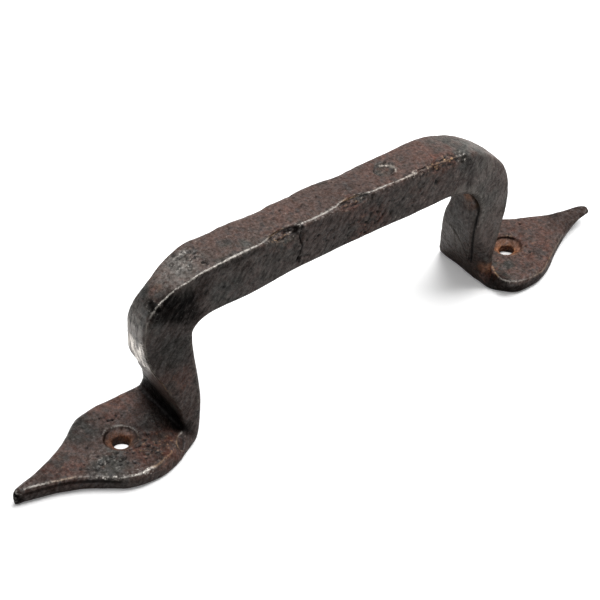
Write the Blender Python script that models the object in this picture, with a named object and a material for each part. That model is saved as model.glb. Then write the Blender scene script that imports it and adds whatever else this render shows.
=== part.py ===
"""Hand-forged iron pull handle, drawn from one square bar.

The middle of the bar is the grip. Each end is bent down into a leg, thinned
and folded outward, and spread into a leaf-shaped plate that is drilled and
countersunk for one screw. Lengths are in metres. X runs along the grip, Z
points away from the door, and the undersides of both plates lie at z = 0.
"""

import math
from collections import namedtuple

import bmesh
import bpy
from mathutils import Vector

# Sizes that the whole handle shares
HOLE_SPACING = 0.1556
LEAF_REACH = 0.0372
FINGER_CLEARANCE = 0.0463
GRIP_DEPTH = 0.0156
GRIP_WIDTH = 0.0144
PLATE_THICKNESS = 0.0053
LEAF_WIDTH = 0.0336

# Screw holes
SCREW_HOLE_DIAMETER = 0.0051
COUNTERSINK_DIAMETER = 0.0108
COUNTERSINK_WALL = 0.0005
DRILL_POINT_ANGLE = math.radians(118)
HOLE_SIDES = 32
CUTTER_OVERRUN = 0.0020

# Edges, surface and spacing of the sections
ARRIS_RADIUS = 0.0009
LEAF_EDGE_WEAR = 0.0013
TIP_RADIUS = 0.0020
TIP_LIFT_RUN = 0.0280
FACE_CROWN = 0.0002
SECTION_STEP = 0.0024
FOLD_RADIUS = 0.0005

# How the shape changes along the bar, as shares of the stretch named
SAG_BEGINS = 0.33
SAG_ENDS = 0.74
PINCH_ENDS = 0.55
FLARE_POWER = 1.15
FACET_BEGINS = 0.15
FACET_ENDS = 0.75
FACET_FADES = 0.80
FACET_RISE_SHARE = 0.6
FOOT_SHARE = 0.985
FOLD_BLEND = 0.12
LEAF_CROWDING = 1.5
SCALLOP_FULLNESS = 0.8
TIP_THINNING = 0.6
TIP_ANGLES = (math.radians(30), math.radians(58), math.radians(80))

# How far a worn corner bulges between its two ends: 0.3 is an arc, 0.5 a flat
ROUND_CORNER = 0.3
OUTER_CORNER = 0.36
FACET_FLATTENING = 0.16
CORNER_LIMIT = 0.45

GRIP_TOP = FINGER_CLEARANCE + GRIP_DEPTH

# One end of the handle. Runs are measured outward along the grip, drops
# downward, and setbacks inward from the fold between leg and plate. Shares
# run from the bend down to the fold, or from the screw hole to the leaf's tip.
End = namedtuple("End", [
    "side",
    "fold_setback",
    "overhang",
    "bend_run",
    "bend_drop",
    "throat_setback",
    "throat_run",
    "throat_drop",
    "throat_sag",
    "waist_setback",
    "waist_share",
    "heel_setback",
    "heel_turn",
    "near_pinch",
    "far_pinch",
    "far_pinch_pace",
    "lean_start",
    "lean_end",
    "near_flare_start",
    "far_flare_start",
    "near_foot_widening",
    "near_heel_widening",
    "far_foot_share",
    "heel_facet",
    "near_shoulder_run",
    "near_heel_run",
    "far_shoulder_run",
    "tip_lift",
    "near_outline",
    "far_outline",
])

# Outlines of the leaves: shares of the way from the screw hole to the tip,
# negative towards the fold, and shares of half the leaf's width.
LEFT_OUTLINE = (
    (-0.48, 0.98),
    (-0.20, 0.99),
    (0.00, 1.00),
    (0.19, 0.90),
    (0.38, 0.58),
    (0.60, 0.32),
    (0.87, 0.13),
    (1.00, 0.05),
)
RIGHT_NEAR_OUTLINE = (
    (-0.36, 0.96),
    (-0.20, 1.00),
    (0.00, 0.99),
    (0.19, 0.81),
    (0.38, 0.54),
    (0.60, 0.31),
    (0.87, 0.14),
    (1.00, 0.10),
)
RIGHT_FAR_OUTLINE = (
    (-0.36, 0.94),
    (-0.20, 1.00),
    (0.00, 0.98),
    (0.19, 0.82),
    (0.38, 0.59),
    (0.60, 0.34),
    (0.87, 0.17),
    (1.00, 0.11),
)

LEFT_END = End(
    side=-1,
    fold_setback=0.0174,
    overhang=0.0097,
    bend_run=0.024,
    bend_drop=0.0172,
    throat_setback=0.0058,
    throat_run=0.0085,
    throat_drop=0.0052,
    throat_sag=0.0014,
    waist_setback=0.0077,
    waist_share=0.62,
    heel_setback=0.0038,
    heel_turn=2.0,
    near_pinch=0.0018,
    far_pinch=0.0033,
    far_pinch_pace=2.0,
    lean_start=0.14,
    lean_end=0.92,
    near_flare_start=0.50,
    far_flare_start=0.42,
    near_foot_widening=0.0016,
    near_heel_widening=0.0026,
    far_foot_share=0.985,
    heel_facet=0.0012,
    near_shoulder_run=0.0175,
    near_heel_run=0.0175,
    far_shoulder_run=0.006,
    tip_lift=0.0,
    near_outline=LEFT_OUTLINE,
    far_outline=LEFT_OUTLINE,
)

RIGHT_END = End(
    side=1,
    fold_setback=0.0133,
    overhang=0.0064,
    bend_run=0.0345,
    bend_drop=0.0262,
    throat_setback=0.0069,
    throat_run=0.017,
    throat_drop=0.0104,
    throat_sag=0.0005,
    waist_setback=0.0088,
    waist_share=0.25,
    heel_setback=0.0023,
    heel_turn=1.4,
    near_pinch=0.0015,
    far_pinch=0.0024,
    far_pinch_pace=1.35,
    lean_start=0.0,
    lean_end=0.85,
    near_flare_start=0.70,
    far_flare_start=0.14,
    near_foot_widening=0.0006,
    near_heel_widening=0.0018,
    far_foot_share=1.0,
    heel_facet=0.0052,
    near_shoulder_run=0.0014,
    near_heel_run=0.0075,
    far_shoulder_run=0.006,
    tip_lift=0.0034,
    near_outline=RIGHT_NEAR_OUTLINE,
    far_outline=RIGHT_FAR_OUTLINE,
)

# A section of the bar: its outer and inner faces as points (x, z), its four
# arrises as half-widths on the near side (-Y) and the far side (+Y), the wear
# on the outer arrises and the facet across the near inner arris.
Section = namedtuple("Section", "outer inner outer_near outer_far inner_near inner_far edge facet")

# A hammered flat on an arris of the grip. Its middle is a share of the way from
# the grip's middle to a screw hole, negative on the left. It reaches across the
# top face and down the side face, and a lean over 1 puts its deepest place
# nearer to its right-hand end.
Scallop = namedtuple("Scallop", "arris middle length across down lean")
SCALLOPS = (
    Scallop(arris="near", middle=-0.29, length=0.0165, across=0.0022, down=0.0032, lean=2.2),
    Scallop(arris="near", middle=0.075, length=0.0150, across=0.0016, down=0.0016, lean=1.1),
    Scallop(arris="near", middle=0.49, length=0.0260, across=0.0004, down=0.0017, lean=1.0),
    Scallop(arris="far", middle=-0.31, length=0.0130, across=0.0012, down=0.0012, lean=1.0),
    Scallop(arris="far", middle=0.13, length=0.0150, across=0.0010, down=0.0012, lean=1.0),
)


def blend(start, end, share):
    return start + (end - start) * share


def smooth(share):
    share = min(max(share, 0.0), 1.0)
    return share * share * (3.0 - 2.0 * share)


def fold_x(end):
    """Distance from the middle of the grip to the fold."""
    return HOLE_SPACING / 2 - end.fold_setback


def foot_widths(end):
    """Half-widths where leg turns into plate: near top, near heel and far."""
    bar = GRIP_WIDTH / 2
    return bar + end.near_foot_widening, bar + end.near_heel_widening, LEAF_WIDTH / 2 * end.far_foot_share


def bend_start(end):
    """Where the bend leaves the straight grip, on the top and the underside."""
    outer = fold_x(end) + end.overhang - end.bend_run
    inner = fold_x(end) - end.throat_setback - end.throat_run
    return outer, inner


def bend_sections(end):
    """Sections around the bend, where both faces follow a quarter ellipse."""
    outer_start, inner_start = bend_start(end)
    steps = max(4, round(end.bend_run / SECTION_STEP))
    half = GRIP_WIDTH / 2
    sections = []
    for step in range(steps):
        share = step / steps
        angle = math.pi / 2 * share
        outer_x = outer_start + end.bend_run * math.sin(angle)
        outer_z = GRIP_TOP - end.bend_drop * (1 - math.cos(angle))
        inner_x = inner_start + end.throat_run * math.sin(angle)
        inner_z = FINGER_CLEARANCE - end.throat_sag - end.throat_drop * (1 - math.cos(angle))
        near = half - end.near_pinch * smooth(share)
        far = half - end.far_pinch * smooth(end.far_pinch_pace * share)
        outer = (outer_x, outer_z)
        inner = (inner_x, inner_z)
        sections.append(Section(outer, inner, near, far, half, half, ARRIS_RADIUS, 0.0))
    return sections


def leg_setback(end, share):
    """How far the leg's inner face lies behind the fold, down the leg."""
    if share < end.waist_share:
        return blend(end.throat_setback, end.waist_setback, smooth(share / end.waist_share))
    below = (share - end.waist_share) / (1 - end.waist_share)
    return blend(end.waist_setback, end.heel_setback, below ** end.heel_turn)


def flare(start, share):
    """How much of the flare from bar to plate has been reached, down the leg."""
    return max(0.0, (share - start) / (1 - start)) ** FLARE_POWER


def leg_facet(end, share):
    """Width of the facet on the near inner arris, which grows and then fades."""
    grown = smooth((share - FACET_BEGINS) / (FACET_ENDS - FACET_BEGINS))
    faded = smooth((share - FACET_FADES) / (1 - FACET_FADES))
    return end.heel_facet * grown * (1 - faded)


def leg_sections(end):
    """Sections down the leg, which leans inward, thins and flares to the fold."""
    fold = fold_x(end)
    top = GRIP_TOP - end.bend_drop
    inner_top = FINGER_CLEARANCE - end.throat_sag - end.throat_drop
    steps = max(6, round((top - PLATE_THICKNESS) / SECTION_STEP))
    half = GRIP_WIDTH / 2
    near_foot, near_heel, far_foot = foot_widths(end)
    shares = [step / steps for step in range(steps)]
    sections = []
    for share in shares + [FOOT_SHARE]:
        lean = smooth((share - end.lean_start) / (end.lean_end - end.lean_start))
        pinch = 1 - smooth(share / PINCH_ENDS)
        near = flare(end.near_flare_start, share)
        far = flare(end.far_flare_start, share)
        sections.append(Section(
            (fold + end.overhang * (1 - lean), blend(top, PLATE_THICKNESS, share)),
            (fold - leg_setback(end, share), blend(inner_top, 0.0, share)),
            blend(half - end.near_pinch * pinch, near_foot, near),
            blend(half - end.far_pinch * pinch, far_foot, far),
            blend(half, near_heel, near),
            blend(half, far_foot, far),
            ARRIS_RADIUS,
            leg_facet(end, share),
        ))
    return sections


def smooth_curve(points, x):
    """Height at x of a smooth curve through points that run to the right."""
    index = 0
    while index < len(points) - 2 and x > points[index + 1][0]:
        index += 1
    before = points[max(index - 1, 0)]
    start = points[index]
    finish = points[index + 1]
    after = points[min(index + 2, len(points) - 1)]
    span = finish[0] - start[0]
    slope_in = (finish[1] - before[1]) / (finish[0] - before[0])
    slope_out = (after[1] - start[1]) / (after[0] - start[0])
    t = (x - start[0]) / span
    return (
        (2 * t ** 3 - 3 * t ** 2 + 1) * start[1]
        + (t ** 3 - 2 * t ** 2 + t) * span * slope_in
        + (3 * t ** 2 - 2 * t ** 3) * finish[1]
        + (t ** 3 - t ** 2) * span * slope_out
    )


def leaf_half_width(outline, x, start, foot, shoulder_run):
    """Half-width of the leaf at x, growing out of the foot that starts it."""
    full = LEAF_WIDTH / 2 * smooth_curve(outline, (x - HOLE_SPACING / 2) / LEAF_REACH)
    turn = min(max((x - start) / shoulder_run, 0.0), 1.0)
    return blend(foot, full, math.sin(turn * math.pi / 2))


def leaf_sections(end):
    """Sections of the plate from the fold to the start of its rounded tip."""
    fold = fold_x(end)
    heel = fold - end.heel_setback
    last = HOLE_SPACING / 2 + LEAF_REACH - TIP_RADIUS * math.sin(TIP_ANGLES[-1])
    near_foot, near_heel, far_foot = foot_widths(end)
    steps = max(12, round((last - fold) / SECTION_STEP))
    sections = []
    for step in range(steps + 1):
        share = (step / steps) ** LEAF_CROWDING
        outer_x = blend(fold + FOLD_RADIUS, last, share)
        inner_x = blend(heel + FOLD_RADIUS, last, share)
        near = leaf_half_width(end.near_outline, outer_x, fold, near_foot, end.near_shoulder_run)
        far = leaf_half_width(end.far_outline, outer_x, fold, far_foot, end.far_shoulder_run)
        inner_near = leaf_half_width(end.near_outline, inner_x, heel, near_heel, end.near_heel_run)
        inner_far = leaf_half_width(end.far_outline, inner_x, heel, far_foot, end.far_shoulder_run)
        settled = smooth(share / FOLD_BLEND)
        edge = blend(ARRIS_RADIUS, LEAF_EDGE_WEAR, settled)
        lift = end.tip_lift * smooth((inner_x - last) / TIP_LIFT_RUN + 1) ** 2
        sections.append(Section(
            (outer_x, PLATE_THICKNESS),
            (inner_x, lift),
            near,
            far,
            inner_near,
            inner_far,
            edge,
            0.0,
        ))
    return sections


def tip_sections(last):
    """Sections that round off the leaf's tip after its last section."""
    sections = []
    for angle in TIP_ANGLES:
        x = last.outer[0] + TIP_RADIUS * math.sin(angle)
        narrowing = math.cos(angle)
        near = last.outer_near * narrowing
        far = last.outer_far * narrowing
        bottom = last.inner[1]
        top = blend(bottom, PLATE_THICKNESS, blend(TIP_THINNING, 1.0, narrowing))
        sections.append(Section((x, top), (x, bottom), near, far, near, far, last.edge, 0.0))
    return sections


def end_sections(end):
    """All sections of one end, from the grip to the leaf's tip."""
    leaf = leaf_sections(end)
    return bend_sections(end) + leg_sections(end) + leaf + tip_sections(leaf[-1])


def grip_sag(end, x):
    """How much deeper the bar is on its underside, towards one bend."""
    share = abs(x) / bend_start(end)[1]
    return end.throat_sag * smooth((share - SAG_BEGINS) / (SAG_ENDS - SAG_BEGINS))


def grip_sections():
    """Sections along the straight middle of the bar, from left to right."""
    half = GRIP_WIDTH / 2
    left, left_inner = bend_start(LEFT_END)
    right, right_inner = bend_start(RIGHT_END)
    steps = round((left + right) / SECTION_STEP)
    sections = []
    for step in range(1, steps):
        share = step / steps
        x = blend(-left, right, share)
        inner_x = blend(-left_inner, right_inner, share)
        sag = grip_sag(LEFT_END if x < 0 else RIGHT_END, inner_x)
        inner = (inner_x, FINGER_CLEARANCE - sag)
        sections.append(Section((x, GRIP_TOP), inner, half, half, half, half, ARRIS_RADIUS, 0.0))
    return sections


def placed(section, side):
    """The section with its distances along the grip turned into X."""
    outer = (section.outer[0] * side, section.outer[1])
    inner = (section.inner[0] * side, section.inner[1])
    return section._replace(outer=outer, inner=inner)


def handle_sections():
    """All sections in order, from the left tip to the right tip."""
    left = [placed(section, LEFT_END.side) for section in reversed(end_sections(LEFT_END))]
    right = [placed(section, RIGHT_END.side) for section in end_sections(RIGHT_END)]
    return left + grip_sections() + right


def scallop_setback(arris, x):
    """How far the flats take an arris back across the top and down the side."""
    across = 0.0
    down = 0.0
    for scallop in SCALLOPS:
        share = (x - scallop.middle * HOLE_SPACING / 2) / scallop.length + 0.5
        if scallop.arris == arris and 0.0 < share < 1.0:
            depth = math.sin(math.pi * share ** scallop.lean) ** SCALLOP_FULLNESS
            across += scallop.across * depth
            down += scallop.down * depth
    return across, down


def worn_corner(corner, previous, following, setback, next_setback, fullness=ROUND_CORNER):
    """Three points across a corner, set back from it along both faces."""
    back = previous - corner
    ahead = following - corner
    back = back.normalized() * min(setback, CORNER_LIMIT * back.length)
    ahead = ahead.normalized() * min(next_setback, CORNER_LIMIT * ahead.length)
    return [corner + back, corner + (back + ahead) * fullness, corner + ahead]


def face_points(start, finish, outward):
    """Points between two corners, crowned a little as hammering leaves a face."""
    points = []
    for share in (0.25, 0.5, 0.75):
        crown = 4.0 * share * (1.0 - share) * FACE_CROWN
        points.append(start.lerp(finish, share) + outward * crown)
    return points


def section_ring(section):
    """The closed ring of points around one section."""
    outer_x, outer_z = section.outer
    inner_x, inner_z = section.inner
    outer_near = Vector((outer_x, -section.outer_near, outer_z))
    outer_far = Vector((outer_x, section.outer_far, outer_z))
    inner_far = Vector((inner_x, section.inner_far, inner_z))
    inner_near = Vector((inner_x, -section.inner_near, inner_z))
    near_across, near_down = scallop_setback("near", outer_x)
    far_across, far_down = scallop_setback("far", outer_x)
    edge = section.edge
    facet = section.facet
    rise = FACET_RISE_SHARE * facet
    flatness = ROUND_CORNER + FACET_FLATTENING * min(1.0, facet / PLATE_THICKNESS)
    corners = [
        worn_corner(outer_near, inner_near, outer_far, edge + near_down, edge + near_across, OUTER_CORNER),
        worn_corner(outer_far, outer_near, inner_far, edge + far_across, edge + far_down),
        worn_corner(inner_far, outer_far, inner_near, edge, edge),
        worn_corner(inner_near, inner_far, outer_near, edge + facet, edge + rise, flatness),
    ]
    across = Vector((outer_x - inner_x, 0.0, outer_z - inner_z)).normalized()
    underside = Vector() if inner_z < PLATE_THICKNESS else -across
    outward = [across, Vector((0, 1, 0)), underside, Vector((0, -1, 0))]
    ring = []
    for index, corner in enumerate(corners):
        following = corners[(index + 1) % len(corners)]
        ring.extend(corner)
        ring.extend(face_points(corner[-1], following[0], outward[index]))
    return ring


def loft(name, rings):
    """A closed mesh through all rings, capped at both ends."""
    mesh = bmesh.new()
    loops = [[mesh.verts.new(point) for point in ring] for ring in rings]
    for here, beyond in zip(loops, loops[1:]):
        for index in range(len(here)):
            after = (index + 1) % len(here)
            mesh.faces.new((here[index], here[after], beyond[after], beyond[index]))
    mesh.faces.new(list(reversed(loops[0])))
    mesh.faces.new(loops[-1])
    bmesh.ops.recalc_face_normals(mesh, faces=mesh.faces)
    data = bpy.data.meshes.new(name)
    mesh.to_mesh(data)
    mesh.free()
    thing = bpy.data.objects.new(name, data)
    bpy.context.scene.collection.objects.link(thing)
    return thing


def hole_cutter(name, x):
    """A turned cutter: the screw hole, the drill point's cone and the recess."""
    bore = SCREW_HOLE_DIAMETER / 2
    recess = COUNTERSINK_DIAMETER / 2
    cone_top = PLATE_THICKNESS - COUNTERSINK_WALL
    cone_bottom = cone_top - (recess - bore) / math.tan(DRILL_POINT_ANGLE / 2)
    above = PLATE_THICKNESS + CUTTER_OVERRUN
    profile = ((bore, -CUTTER_OVERRUN), (bore, cone_bottom), (recess, cone_top), (recess, above))
    rings = []
    for radius, height in profile:
        angles = [2 * math.pi * side / HOLE_SIDES for side in range(HOLE_SIDES)]
        rings.append([Vector((x + radius * math.cos(a), radius * math.sin(a), height)) for a in angles])
    cutter = loft(name, rings)
    cutter.hide_render = True
    cutter.display_type = "WIRE"
    return cutter


def drill_hole(handle, name, x):
    """Cut one countersunk screw hole through the plate at x."""
    cut = handle.modifiers.new(name, "BOOLEAN")
    cut.operation = "DIFFERENCE"
    cut.solver = "EXACT"
    cut.object = hole_cutter(name + "_cutter", x)


def forged_iron():
    """Dark brown-grey forged iron with a dull sheen."""
    material = bpy.data.materials.new("forged_iron")
    material.use_nodes = True
    shader = material.node_tree.nodes["Principled BSDF"]
    shader.inputs["Base Color"].default_value = (0.065, 0.048, 0.043, 1.0)
    shader.inputs["Roughness"].default_value = 0.55
    shader.inputs["Metallic"].default_value = 0.6
    return material


def build_handle():
    """The whole forging, with both plates drilled."""
    handle = loft("forged_handle", [section_ring(section) for section in handle_sections()])
    handle.data.materials.append(forged_iron())
    handle.data.shade_smooth()
    handle.data.set_sharp_from_angle(angle=math.radians(30))
    drill_hole(handle, "left_screw_hole", -HOLE_SPACING / 2)
    drill_hole(handle, "right_screw_hole", HOLE_SPACING / 2)


for thing in list(bpy.data.objects):
    bpy.data.objects.remove(thing, do_unlink=True)
build_handle()
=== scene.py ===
import bpy
import numpy as np
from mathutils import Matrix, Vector, noise


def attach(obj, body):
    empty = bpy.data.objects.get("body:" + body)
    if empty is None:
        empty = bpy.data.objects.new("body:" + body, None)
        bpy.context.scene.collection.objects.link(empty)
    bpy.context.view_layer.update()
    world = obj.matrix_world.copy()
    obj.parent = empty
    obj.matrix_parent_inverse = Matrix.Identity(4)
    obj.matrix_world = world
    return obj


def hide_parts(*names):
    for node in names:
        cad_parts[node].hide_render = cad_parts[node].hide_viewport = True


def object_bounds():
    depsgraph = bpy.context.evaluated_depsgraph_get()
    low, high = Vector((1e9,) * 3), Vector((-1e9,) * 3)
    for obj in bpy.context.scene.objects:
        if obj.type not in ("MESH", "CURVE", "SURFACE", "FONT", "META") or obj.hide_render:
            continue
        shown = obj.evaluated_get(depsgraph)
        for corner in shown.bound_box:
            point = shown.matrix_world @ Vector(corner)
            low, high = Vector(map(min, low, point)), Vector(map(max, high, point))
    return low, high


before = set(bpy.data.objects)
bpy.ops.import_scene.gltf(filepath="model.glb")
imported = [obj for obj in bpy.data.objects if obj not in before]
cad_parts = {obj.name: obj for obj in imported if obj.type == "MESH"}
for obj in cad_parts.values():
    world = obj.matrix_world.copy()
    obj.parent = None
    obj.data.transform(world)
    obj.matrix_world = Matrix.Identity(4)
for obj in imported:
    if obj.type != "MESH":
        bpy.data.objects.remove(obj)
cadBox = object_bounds()
print("frame loaded")


def deselectAll():
    if bpy.context.mode != "OBJECT":
        bpy.ops.object.mode_set(mode="OBJECT")
    bpy.ops.object.select_all(action="DESELECT")


def makeActive(piece):
    deselectAll()
    piece.select_set(True)
    bpy.context.view_layer.objects.active = piece


def addModifier(piece, kind, name, **settings):
    made = piece.modifiers.new(name, kind)
    for setting, value in settings.items():
        setattr(made, setting, value)
    makeActive(piece)
    bpy.ops.object.modifier_apply(modifier=name)


def smoothStep(values, low, high):
    share = np.clip((values - low) / (high - low), 0.0, 1.0)
    return share * share * (3.0 - 2.0 * share)


def unit(direction):
    direction = np.array(direction, float)
    return direction / np.linalg.norm(direction)


# camera at the photo's angle
view = {
    "location": (-0.2732, -0.3527, 0.3985),
    "target": (0.00815, 0.02439, 0.0),
    "lens": 110.95,
    "sensor": 36,
    "nearest": 0.01,
    "farthest": 20,
}


def addCamera():
    deselectAll()
    bpy.ops.object.camera_add(location=view["location"])
    camera = bpy.context.object
    camera.name = "photoCamera"
    look = Vector(view["target"]) - Vector(view["location"])
    camera.rotation_euler = look.to_track_quat("-Z", "Y").to_euler()
    camera.data.sensor_width = view["sensor"]
    camera.data.lens = view["lens"]
    camera.data.clip_start = view["nearest"]
    camera.data.clip_end = view["farthest"]
    bpy.context.scene.camera = camera


addCamera()
print("camera placed")


# the forging: a finer copy of the CAD node, hammered and worn
# lengths in metres, X along the grip and Z up from the door
forging = {
    "node": "forged_handle",
    "weld": 0.00001,
    "voxel": 0.00034,
    "smoothFactor": 0.5,
    "smoothTimes": 4,
    "facetSize": 0.0105,      # width of a hammer mark
    "facetDepth": 0.00026,
    "waveSize": 0.017,        # slow unevenness of the hand-drawn bar
    "waveDepth": 0.00042,
    "roughSize": 0.0024,      # scale that came off under the hammer
    "roughDepth": 0.00007,
    "swell": 0.00016,         # makes up for what smoothing takes off
    "topSink": 0.00030,       # keeps the dents of the grip's top inside the CAD box
    "topHeights": (0.056, 0.0612),
    "plateHeight": 0.004,     # below this, faces that point down stay flat
    "steadyShare": 0.35,      # how much of the hammering the grip's underside shows
    "steadyHeights": (0.047, 0.054),
    "steadyEnds": (0.050, 0.060),
    "markReach": 0.004,       # a mark doesn't go through to the far face
    "pitSeed": 11,
    "edgeBends": (160.0, 560.0),    # curvature at which an arris starts to wear and is fully worn
    "hollowBends": (60.0, 400.0),   # the same for black scale and painted shade in a hollow
    "leftFiled": 0.2,         # the left leg was filed less than the rest
    "leftLeg": (-0.060, -0.050),
    "triangles": 190000,
    "holes": (-0.0778, 0.0778),     # X of the two screw holes
    "holeTop": 0.0055,              # just above the plates' faces
    "boreEdges": (0.0029, 0.0034),  # the wear of a bore fades out between these distances
    "boreHeights": (0.0030, 0.0038),
    "boreWear": 0.00045,
    "boreFlare": 0.0011,            # the right bore opens wider towards the door
    "flareHeights": (0.0002, 0.0018),
}

# flats and dents pressed into the faces: place, the way each faces, its long way, half sizes,
# depth, and how sharp its rim is
pressedMarks = [
    {"at": (0.0223, 0.0007, 0.0619), "facing": (0, 0, 1), "along": (1, 0.15, 0),
     "half": (0.0034, 0.0033), "depth": 0.00095, "sharp": 0.88},
    {"at": (-0.0205, -0.0060, 0.0606), "facing": (0, -0.75, 0.66), "along": (1, 0, -0.06),
     "half": (0.0056, 0.0017), "depth": 0.00075, "sharp": 0.75},
    {"at": (0.0055, -0.0060, 0.0608), "facing": (0, -0.75, 0.66), "along": (1, 0, 0.0),
     "half": (0.0060, 0.0016), "depth": 0.00070, "sharp": 0.75},
    {"at": (-0.0148, -0.0070, 0.0590), "facing": (0, -1, 0.2), "along": (0.1, 0, 1),
     "half": (0.0030, 0.0010), "depth": 0.00050},
    {"at": (-0.0163, -0.0073, 0.0500), "facing": (0, -1, 0), "along": (0.25, 0, 1),
     "half": (0.0016, 0.0007), "depth": 0.00070},
    {"at": (0.0374, -0.0073, 0.0548), "facing": (0, -1, 0), "along": (0.2, 0, 1),
     "half": (0.0018, 0.0009), "depth": 0.00050},
    {"at": (0.0115, -0.0073, 0.0495), "facing": (0, -1, 0), "along": (0.6, 0, 1),
     "half": (0.0040, 0.0012), "depth": 0.00022},
    {"at": (0.0476, -0.0072, 0.0530), "facing": (0, -1, 0), "along": (0.1, 0, 1),
     "half": (0.0030, 0.0010), "depth": 0.00025},
    {"at": (-0.0655, -0.0045, 0.0540), "facing": (-0.7, -0.5, 0.5), "along": (0, 1, 0),
     "half": (0.0024, 0.0014), "depth": 0.00080, "sharp": 0.7},
    {"at": (-0.0632, -0.0118, 0.0042), "facing": (0.4, -0.7, 0.6), "along": (0, 1, 0),
     "half": (0.0026, 0.0017), "depth": 0.00060, "sharp": 0.8},
]

# creases left by the folding and by the hammer: the way each runs, its width and depth
legCrease = [
    (0.0568, -0.0033, 0.0382), (0.0575, -0.0051, 0.0362), (0.0573, -0.0060, 0.0339),
    (0.0568, -0.0063, 0.0315), (0.0561, -0.0065, 0.0279), (0.0564, -0.0056, 0.0230),
    (0.0578, -0.0040, 0.0171), (0.0595, -0.0022, 0.0096),
]
footCrease = [
    (0.0561, 0.0046, 0.0217), (0.0566, 0.0019, 0.0190), (0.0576, -0.0004, 0.0154),
    (0.0597, -0.0021, 0.0085),
]
gripCrease = [
    (-0.0141, -0.0068, 0.0610), (-0.0151, -0.0072, 0.0590), (-0.0153, -0.0074, 0.0566),
    (-0.0147, -0.0074, 0.0543), (-0.0158, -0.0074, 0.0515),
]
creases = [
    {"points": legCrease, "width": 0.0011, "depth": 0.00085},
    {"points": footCrease, "width": 0.0008, "depth": 0.00035},
    {"points": gripCrease, "width": 0.0006, "depth": 0.00035},
]

# single pits: place, the way they face, radius and depth
pits = [
    ((-0.0768, 0.0085, 0.0053), (0, 0, 1), 0.0008, 0.00050),
    ((-0.0756, 0.0080, 0.0053), (0, 0, 1), 0.0007, 0.00050),
    ((-0.0785, 0.0108, 0.0053), (0, 0, 1), 0.0006, 0.00035),
    ((-0.0881, 0.0024, 0.0053), (0, 0, 1), 0.0007, 0.00045),
    ((-0.0722, -0.0051, 0.0053), (0, 0, 1), 0.0007, 0.00040),
    ((-0.0729, -0.0078, 0.0053), (0, 0, 1), 0.0008, 0.00045),
    ((-0.0750, -0.0110, 0.0053), (0, 0, 1), 0.0007, 0.00045),
    ((-0.0812, -0.0080, 0.0053), (0, 0, 1), 0.0007, 0.00045),
    ((-0.0816, -0.0103, 0.0053), (0, 0, 1), 0.0006, 0.00045),
    ((-0.0799, -0.0115, 0.0053), (0, 0, 1), 0.0007, 0.00050),
    ((-0.0163, -0.0074, 0.0498), (0, -1, 0), 0.0008, 0.00060),
    ((0.0375, -0.0073, 0.0546), (0, -1, 0), 0.0007, 0.00050),
    ((0.0252, 0.0032, 0.0621), (0, 0, 1), 0.0005, 0.00035),
    ((0.0248, -0.0020, 0.0621), (0, 0, 1), 0.0005, 0.00035),
    ((0.0893, 0.0061, 0.0053), (0, 0, 1), 0.0006, 0.00030),
    ((0.0817, -0.0074, 0.0053), (0, 0, 1), 0.0006, 0.00030),
]

# groups of small pits: middle, the way they face, spread, how many, radius and depth
pitGroups = [
    {"at": (-0.0865, -0.0060, 0.0053), "facing": (0, 0, 1), "spread": (0.0065, 0.0035), "count": 40,
     "radius": (0.0003, 0.0008), "depth": 0.00032},
    {"at": (-0.0735, -0.0085, 0.0053), "facing": (0, 0, 1), "spread": (0.0034, 0.0050), "count": 26,
     "radius": (0.0003, 0.0008), "depth": 0.00035},
    {"at": (-0.0765, 0.0085, 0.0053), "facing": (0, 0, 1), "spread": (0.0040, 0.0020), "count": 9,
     "radius": (0.0003, 0.0007), "depth": 0.00025},
    {"at": (-0.0520, 0.0005, 0.0619), "facing": (0, 0, 1), "spread": (0.0052, 0.0050), "count": 44,
     "radius": (0.0004, 0.0010), "depth": 0.00042},
    {"at": (-0.0610, -0.0005, 0.0600), "facing": (0, 0, 1), "spread": (0.0030, 0.0050), "count": 16,
     "radius": (0.0003, 0.0009), "depth": 0.00025},
    {"at": (0.0770, -0.0060, 0.0053), "facing": (0, 0, 1), "spread": (0.0080, 0.0080), "count": 22,
     "radius": (0.0003, 0.0007), "depth": 0.00018},
    {"at": (0.0000, -0.0072, 0.0540), "facing": (0, -1, 0), "spread": (0.0350, 0.0050), "count": 90,
     "radius": (0.0003, 0.0009), "depth": 0.00024},
    {"at": (0.0110, -0.0073, 0.0500), "facing": (0, -1, 0), "spread": (0.0060, 0.0035), "count": 36,
     "radius": (0.0003, 0.0008), "depth": 0.00032},
    {"at": (0.0000, 0.0000, 0.0619), "facing": (0, 0, 1), "spread": (0.0300, 0.0050), "count": 40,
     "radius": (0.0003, 0.0006), "depth": 0.00012},
    {"at": (0.0000, 0.0072, 0.0540), "facing": (0, 1, 0), "spread": (0.0350, 0.0060), "count": 50,
     "radius": (0.0003, 0.0009), "depth": 0.00016},
]

# stretches of arris that are chipped and worn rough: from, to, reach, depth and size of the chips
roughArrises = [
    {"start": (0.0292, -0.0068, 0.0612), "end": (0.0487, -0.0064, 0.0598),
     "reach": 0.0030, "depth": 0.00130, "size": 0.0012},
    {"start": (0.0000, -0.0066, 0.0613), "end": (0.0125, -0.0068, 0.0610),
     "reach": 0.0020, "depth": 0.00055, "size": 0.0009},
    {"start": (-0.0260, -0.0062, 0.0608), "end": (-0.0150, -0.0066, 0.0600),
     "reach": 0.0026, "depth": 0.00060, "size": 0.0009},
    {"start": (-0.0850, -0.0150, 0.0050), "end": (-0.0640, -0.0115, 0.0050),
     "reach": 0.0018, "depth": 0.00025, "size": 0.0012},
]


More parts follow.
